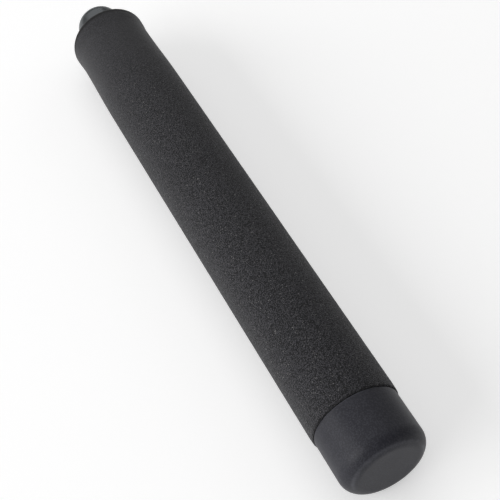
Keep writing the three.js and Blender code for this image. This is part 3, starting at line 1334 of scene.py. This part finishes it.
        half = (
            Outline()
            .to(base, 0.0)
            .to(base, leg, self.clip_bend)
            .to(bow_start - self.bow_lead, leg)
            .curve(bowed, self.bow_steps)
        )
        upper = half.points(8)
        path = [(x, -r) for x, r in reversed(upper[1:])] + upper
        strip = self.shop.strip.make(
            "retaining_spring",
            path,
            self.spring,
            Width=self.clip_width * MM,
            Thickness=self.clip_thickness * MM,
            Edge=self.clip_edge * MM,
        )
        return cut(strip, [self.make_drill(base)])

    def make_drill(self, middle: float) -> bpy.types.Object:
        """Makes the cutter for the clip's screw hole.

        Args:
            middle: Its middle on the axis.

        Returns:
            The new object.
        """
        rear, front = middle - self.drill_half, middle + self.drill_half
        hole = self.screw_hole
        outline = Outline().to(rear, 0.0).to(rear, hole).to(front, hole).to(front, 0.0)
        return self.shop.turned.make("clip_drill", outline.points(), self.spring, Sides=HOLE)

    def make_washer(self) -> bpy.types.Object:
        """Makes the washer, with one rounded and one sharp side, as stamping leaves it.

        Returns:
            The new object.
        """
        washer = self.washer
        outline = (
            Outline()
            .to(washer.rear, washer.radius, 0.06)
            .to(washer.front, washer.radius, 0.2)
            .to(washer.front, self.screw_hole, 0.12)
            .to(washer.rear, self.screw_hole, 0.06)
        )
        return self.shop.turned.make("spring_washer", outline.points(5), self.zinc, Sides=SMALL)

    def make_screw(self) -> bpy.types.Object:
        """Makes the pan-head screw with its hexagon socket.

        Returns:
            The new object.
        """
        screw = self.screw
        head_rear = self.washer.front + SEAT
        outline = (
            Outline()
            .to(screw.rear, 0.0)
            .to(screw.rear, self.screw_shank, 0.3)
            .to(head_rear, self.screw_shank, 0.1)
            .to(head_rear, screw.radius, 0.12)
            .to(screw.front - self.head_dome[0], screw.radius, 0.3)
            .to(screw.front, screw.radius - self.head_dome[1], 0.5)
            .to(screw.front, 0.0)
        )
        head = self.shop.turned.make("clip_fixing_screw", outline.points(6), self.zinc, Sides=SMALL)
        bottom = screw.front - self.key_depth
        outside = screw.front + SEAT
        socket = (
            Outline()
            .to(bottom - self.key_tip, 0.0)
            .to(bottom, self.key_radius)
            .to(screw.front - self.key_chamfer, self.key_radius)
            .to(outside, self.screw_hole)
            .to(outside, 0.0)
        )
        key = self.shop.turned.make("screw_socket", socket.points(), self.zinc, Sides=HEXAGON)
        return cut(head, [key])

    def make_screw_thread(self) -> bpy.types.Object:
        """Makes the screw's own fine thread.

        Returns:
            The new object.
        """
        thread = Thread(
            name="screw_thread",
            start=self.screw.rear + 0.35,
            end=self.floor + 0.9,
            root=self.screw_root,
            crest=self.screw_crest,
            pitch=self.screw_pitch,
            root_width=0.36,
            crest_width=0.08,
            run_out=0.5,
            steps=24,
        )
        return thread.make(self.shop, self.zinc)


@dataclass
class Handle(Assembly):
    """The steel handle tube, its inner thread, and the foam grip over it."""

    tube: Span = field(default_factory=lambda: Span.of("handle_tube"))
    grip: Span = field(default_factory=lambda: Span.of("foam_grip"))
    bore: float = 10.9
    mouth_bore: float = 10.0
    wall: float = 1.6
    taper: float = 20.0
    groove: float = 11.65
    groove_length: float = 8.45
    groove_slope: float = 0.6  # length over which the groove runs out into the bore
    pitch: float = 1.5
    grip_bore: float = 12.6
    neck_from_front: float = 9.9
    neck_depth: float = 0.5
    narrowing: float = 31.3
    lip_depth: float = 0.1
    lip_run: float = 2.1
    lip_drop: float = 2.1
    rear_round: float = 0.42
    rear_step: float = 0.1  # the rear edge is this much narrower
    rear_run: float = 3.0
    pebble: float = 0.80
    pebble_height: float = 0.11
    smooth_from: float = 50.0  # the pebbles die out between these, from the front
    smooth_to: float = 12.0
    grip_sides: int = 216
    grip_step: float = 0.52
    skin_depth: float = 1.2
    fill: float = 1.0
    steel: Finish = Steel("black_handle_steel", (0.020, 0.020, 0.022), (0.16, 0.16, 0.17), 0.8, 0.34)

    @property
    def foam(self) -> Finish:
        """The foam's skin, with its smooth end at the front of the grip."""
        return FoamSkin("grip_foam_skin", front=self.grip.front)

    def build(self) -> None:
        """Builds and dresses the tube, its thread and the grip."""
        settle(self.make_tube(), Body.HANDLE, Slot.BLACK_STEEL, "handle_tube")
        settle(self.make_thread(), Body.HANDLE, Slot.BLACK_STEEL)
        grip = settle(self.make_grip(), Body.HANDLE, Slot.FOAM, "foam_grip")

    def make_tube(self) -> bpy.types.Object:
        """Makes the tube: threaded at its rear, and drawn in at its mouth.

        Returns:
            The new object.
        """
        tube = self.tube
        start = tube.front - self.taper
        radius = self.bore + self.wall
        outline = (
            Outline()
            .to(tube.rear, radius, 0.25)
            .to(start, radius)
            .to(tube.front, radius - (self.bore - self.mouth_bore), 0.5)
            .to(tube.front, self.mouth_bore, 0.35)
            .to(start, self.bore)
            .to(tube.rear + self.groove_length + self.groove_slope, self.bore, 0.2)
            .to(tube.rear + self.groove_length, self.groove, 0.2)
            .to(tube.rear, self.groove, 0.2)
        )
        return self.shop.turned.make("steel_handle", outline.points(6), self.steel, Sides=SMOOTH)

    def make_thread(self) -> bpy.types.Object:
        """Makes the tube's inner thread, with its ridge between the turns of the cap's.

        Returns:
            The new object.
        """
        rear = self.tube.rear
        thread = Thread(
            name="handle_thread",
            start=rear + self.pitch / 4,
            end=rear + self.groove_length - 0.3,
            root=self.groove + 0.08,
            crest=self.bore,
            pitch=self.pitch,
            root_width=0.85,
            crest_width=0.2,
        )
        return thread.make(self.shop, self.steel)

    def make_grip(self) -> bpy.types.Object:
        """Makes the foam sleeve: straight, then drawn in to a neck behind its rounded front lip.

        Returns:
            The new object.
        """
        grip = self.grip
        radius = grip.radius
        neck = (grip.front - self.neck_from_front, radius - self.neck_depth)
        shoulder = (neck[0] - self.narrowing, radius)
        lip = (grip.front - self.lip_run, radius - self.lip_depth)
        tube_start = self.tube.front - self.taper
        slope = (self.bore - self.mouth_bore) / self.taper
        front_bore = self.grip_bore - slope * (grip.front - tube_start)
        outline = (
            Outline()
            .to(grip.rear, self.grip_bore, 0.2)
            .to(grip.rear, radius - self.rear_step, self.rear_round)
            .to(grip.rear + self.rear_run, radius)
            .curve(s_curve(shoulder, neck), steps=24)
            .curve(s_curve(neck, lip), steps=12)
            .curve(quarter(lip, self.lip_run, self.lip_drop), steps=10)
            .to(grip.front, front_bore + 0.15, 0.15)
            .to(tube_start, self.grip_bore)
        )
        skin = self.grip_bore + self.skin_depth
        return self.shop.pebbled.make(
            "foam_grip_sleeve",
            outline.points(6, longest=self.grip_step, beyond=skin),
            self.foam,
            Sides=self.grip_sides,
            Skin_From=skin * MM,
            Pebble=self.pebble * MM,
            Height=self.pebble_height * MM,
            Smooth_From=(grip.front - self.smooth_from) * MM,
            Smooth_To=(grip.front - self.smooth_to) * MM,
            Seed=3.0,
        )


@dataclass
class MiddleSection(Assembly):
    """The section between the handle and the tip: flared at its rear, drawn in at its front."""

    tube: Span = field(default_factory=lambda: Span.of("middle_tube"))
    rise: float = 0.9
    wall: float = 1.2
    taper: float = 20.0
    longest: float = 20.0  # longest run left between two points of its outline
    rear_worn: Band = (12.5, 9.0)  # rubbed band, from the tube's rear end
    front_worn: Band = (-9.9, 8.0)  # and from its front end

    @property
    def steel(self) -> Finish:
        """The tube's black steel, worn bright near both of its ends.

        Returns:
            The finish.
        """
        tube = self.tube
        rear = (tube.rear + self.rear_worn[0], self.rear_worn[1])
        front = (tube.front + self.front_worn[0], self.front_worn[1])
        black, bright = (0.022, 0.022, 0.024), (0.22, 0.22, 0.225)
        return Steel("black_middle_steel", black, bright, 0.82, 0.30, bands=(rear, front))

    def build(self) -> None:
        """Builds and dresses the tube."""
        tube = self.tube
        flare = tube.radius
        radius = flare - self.rise
        outline = (
            Outline()
            .to(tube.rear, flare, 0.3)
            .to(tube.rear + self.taper, radius)
            .to(tube.front - self.taper, radius)
            .to(tube.front, radius - self.rise, 0.45)
            .to(tube.front, radius - self.rise - self.wall, 0.3)
            .to(tube.front - self.taper, radius - self.wall)
            .to(tube.rear + self.taper, radius - self.wall)
            .to(tube.rear, flare - self.wall, 0.25)
        )
        points = outline.points(6, self.longest)
        piece = self.shop.turned.make("middle_section", points, self.steel, Sides=SMOOTH)
        settle(piece, Body.MIDDLE, Slot.BLACK_STEEL, "middle_tube")


@dataclass
class TipSection(Assembly):
    """The innermost shaft, the tapped plug in its front end, and the round knob screwed into it."""

    shaft: Span = field(default_factory=lambda: Span.of("tip_shaft"))
    plug: Span = field(default_factory=lambda: Span.of("tip_plug", 24))
    knob: Span = field(default_factory=lambda: Span.of("tip_knob"))
    rise: float = 0.9
    wall: float = 1.2
    taper: float = 20.0
    stud: float = 3.3
    stud_crest: float = 3.5
    stud_pitch: float = 1.25
    plug_bore: float = 3.8
    dome: tuple[float, float] = (5.3, 3.8)
    knob_edge: float = 0.5
    longest: float = 20.0  # longest run left between two points of the shaft's outline
    chamfer: float = 0.4
    worn: Band = (13.0, 9.0)  # rubbed band, from the shaft's rear end
    machined: Finish = Steel(
        "machined_steel", (0.30, 0.30, 0.31), (0.45, 0.45, 0.45), 0.95, 0.36, depth=0.006
    )

    @property
    def steel(self) -> Finish:
        """The shaft's black steel, worn bright near its rear end.

        Returns:
            The finish.
        """
        worn = (self.shaft.rear + self.worn[0], self.worn[1])
        black, bright = (0.024, 0.024, 0.026), (0.22, 0.22, 0.225)
        return Steel("black_tip_steel", black, bright, 0.82, 0.28, bands=(worn,))

    @property
    def plating(self) -> Finish:
        """The knob's plating, with a painted reflection from the knob's rear face to its dome."""
        return KnobPlating("dark_knob_plating", knob=(self.plug.front + SEAT, self.knob.front))

    def build(self) -> None:
        """Builds and dresses the shaft, the plug, the knob and its stud's thread."""
        settle(self.make_shaft(), Body.TIP, Slot.BLACK_STEEL, "tip_shaft")
        settle(self.make_plug(), Body.TIP, Slot.RAW_STEEL, "tip_plug")
        settle(self.make_knob(), Body.TIP, Slot.KNOB, "tip_knob")
        settle(self.make_stud_thread(), Body.TIP, Slot.KNOB)

    def make_shaft(self) -> bpy.types.Object:
        """Makes the shaft, flared at its rear end.

        Returns:
            The new object.
        """
        shaft = self.shaft
        flare = shaft.radius
        radius = flare - self.rise
        outline = (
            Outline()
            .to(shaft.rear, flare, 0.3)
            .to(shaft.rear + self.taper, radius)
            .to(shaft.front, radius, 0.35)
            .to(shaft.front, radius - self.wall, 0.2)
            .to(shaft.rear + self.taper, radius - self.wall)
            .to(shaft.rear, flare - self.wall, 0.25)
        )
        points = outline.points(6, self.longest)
        return self.shop.turned.make("tip_section", points, self.steel, Sides=SMOOTH)

    def make_plug(self) -> bpy.types.Object:
        """Makes the plug, chamfered at both ends of its bore.

        Returns:
            The new object.
        """
        plug = self.plug
        wide = self.plug_bore + self.chamfer
        outline = (
            Outline()
            .to(plug.rear, plug.radius, 0.5)
            .to(plug.front, plug.radius, 0.3)
            .to(plug.front, wide, 0.05)
            .to(plug.front - self.chamfer, self.plug_bore, 0.05)
            .to(plug.rear + self.chamfer, self.plug_bore, 0.05)
            .to(plug.rear, wide, 0.05)
        )
        return self.shop.turned.make("shaft_plug", outline.points(5), self.machined, Sides=MEDIUM)

    def make_knob(self) -> bpy.types.Object:
        """Makes the knob: a short cylinder with a domed front, on its stud.

        Returns:
            The new object.
        """
        knob = self.knob
        rear = self.plug.front + SEAT
        flat = knob.front - self.dome[0]

        outline = (
            Outline()
            .to(knob.rear, 0.0)
            .to(knob.rear, self.stud, 0.4)
            .to(rear, self.stud, 0.2)
            .to(rear, knob.radius, self.knob_edge)
            .to(flat - 0.4, knob.radius)
            .curve(quarter((flat, knob.radius), *self.dome), steps=20)
            .to(knob.front, knob.radius - self.dome[1] - 0.4)
            .to(knob.front, 0.0)
        )
        return self.shop.turned.make("tip_knob_head", outline.points(7), self.plating, Sides=SMOOTH)

    def make_stud_thread(self) -> bpy.types.Object:
        """Makes the stud's thread.

        Returns:
            The new object.
        """
        thread = Thread(
            name="knob_stud_thread",
            start=self.knob.rear + 0.5,
            end=self.plug.front - 1.2,
            root=self.stud - 0.1,
            crest=self.stud_crest,
            pitch=self.stud_pitch,
            root_width=0.8,
            crest_width=0.16,
        )
        return thread.make(self.shop, self.plating)


# ---- Studio -----------------------------------------------------------------------------------


@dataclass(frozen=True)
class Lamp:
    """An area lamp aimed at the baton's middle. Sizes in metres, angles in degrees."""

    name: str
    azimuth: float
    elevation: float
    distance: float
    width: float
    height: float
    power: float

    def place(self, target: Vector) -> None:
        """Adds the lamp to the scene.

        Args:
            target: The point that it is aimed at.
        """
        data = bpy.data.lights.new(self.name, "AREA")
        data.shape = "RECTANGLE"
        data.size = self.width
        data.size_y = self.height
        data.energy = self.power
        lamp = bpy.data.objects.new(self.name, data)
        bpy.context.scene.collection.objects.link(lamp)
        around = math.radians(self.azimuth)
        up = math.radians(self.elevation)
        way = Vector((math.cos(around) * math.cos(up), math.sin(around) * math.cos(up), math.sin(up)))
        lamp.location = target + way * self.distance
        lamp.rotation_euler = (-way).to_track_quat("-Z", "Y").to_euler()


@dataclass
class Studio:
    """Pale floor, soft lamps and the camera."""

    camera_at: tuple[float, float, float] = (-0.1452, 0.1178, 0.3045)
    camera_right: tuple[float, float, float] = (-0.44065, -0.89769, 0.0)
    camera_up: tuple[float, float, float] = (0.67150, -0.32963, 0.66366)
    lens: float = 83.9
    ahead: float = 0.22
    behind: float = 0.17
    backdrop: float = 0.80
    pale_between: tuple[float, float] = (-0.45, 0.30)  # how far ahead the surroundings turn pale
    floor_half: float = 20.0
    floor_gap: float = 0.0002
    lamps: tuple[Lamp, ...] = (
        Lamp("left_window", 92.0, 20.0, 3.0, 3.2, 1.8, 76.0),
        Lamp("overhead", 0.0, 86.0, 3.0, 3.0, 3.0, 11.0),
        Lamp("far_window", 5.0, 40.0, 3.5, 4.0, 3.0, 30.0),
        Lamp("right_fill", -70.0, 30.0, 3.0, 3.0, 2.0, 8.0),
    )
    table: Finish = Table("pale_table")

    def build(self) -> None:
        """Adds the floor, the lamps, the surrounding light and the camera."""
        low, high = (Vector(corner) for corner in CAD_BOX)
        self.make_floor(low.z)
        for lamp in self.lamps:
            lamp.place((low + high) / 2)
        self.make_surroundings()
        self.make_camera()
        bpy.context.scene.view_settings.view_transform = "Standard"

    def make_floor(self, level: float) -> None:
        """Lays the floor just under the baton.

        Args:
            level: The baton's lowest point, in metres.
        """
        half = self.floor_half
        mesh = bpy.data.meshes.new("floor")
        corners = ((-half, -half), (half, -half), (half, half), (-half, half))
        mesh.from_pydata([(x, y, level - self.floor_gap) for x, y in corners], [], [(0, 1, 2, 3)])
        mesh.materials.append(self.table.material())
        floor = bpy.data.objects.new("floor", mesh)
        bpy.context.scene.collection.objects.link(floor)

    def make_surroundings(self) -> None:
        """Lights the surroundings: pale ahead, dim behind the butt, with a plain backdrop."""
        world = bpy.data.worlds.new("studio")
        world.use_nodes = True
        world.node_tree.nodes.clear()
        graph = Graph(world.node_tree)
        along, _, _ = graph.axes(graph.node("ShaderNodeTexCoord").outputs["Generated"])
        strength = self.behind + (self.ahead - self.behind) * along.ramp(*self.pale_between)
        light, plain = (
            graph.node("ShaderNodeBackground", inputs={"Color": (1.0, 1.0, 1.0, 1.0), "Strength": power})
            for power in (strength, self.backdrop)
        )
        seen = graph.node("ShaderNodeLightPath").outputs["Is Camera Ray"]
        both = graph.node("ShaderNodeMixShader", inputs={0: seen, 1: light, 2: plain})
        graph.node("ShaderNodeOutputWorld", inputs={"Surface": both})
        bpy.context.scene.world = world

    def make_camera(self) -> None:
        """Stands the camera behind the butt cap, looking down along the baton."""
        data = bpy.data.cameras.new("camera")
        data.lens = self.lens
        data.clip_start = 0.01
        camera = bpy.data.objects.new("camera", data)
        right = Vector(self.camera_right).normalized()
        up = Vector(self.camera_up).normalized()
        turn = Matrix((right, up, right.cross(up))).transposed()
        camera.matrix_world = Matrix.Translation(self.camera_at) @ turn.to_4x4()
        bpy.context.scene.collection.objects.link(camera)
        bpy.context.scene.camera = camera


def main() -> None:
    """Builds the studio and then every sub-assembly, from the butt to the tip."""
    logging.basicConfig(level=logging.INFO, format="%(name)s: %(message)s")
    Studio().build()
    shop = Shop()
    for kind in (ButtCap, Handle, MiddleSection, TipSection):
        kind(shop).build()


if __name__ == "__main__":
    main()
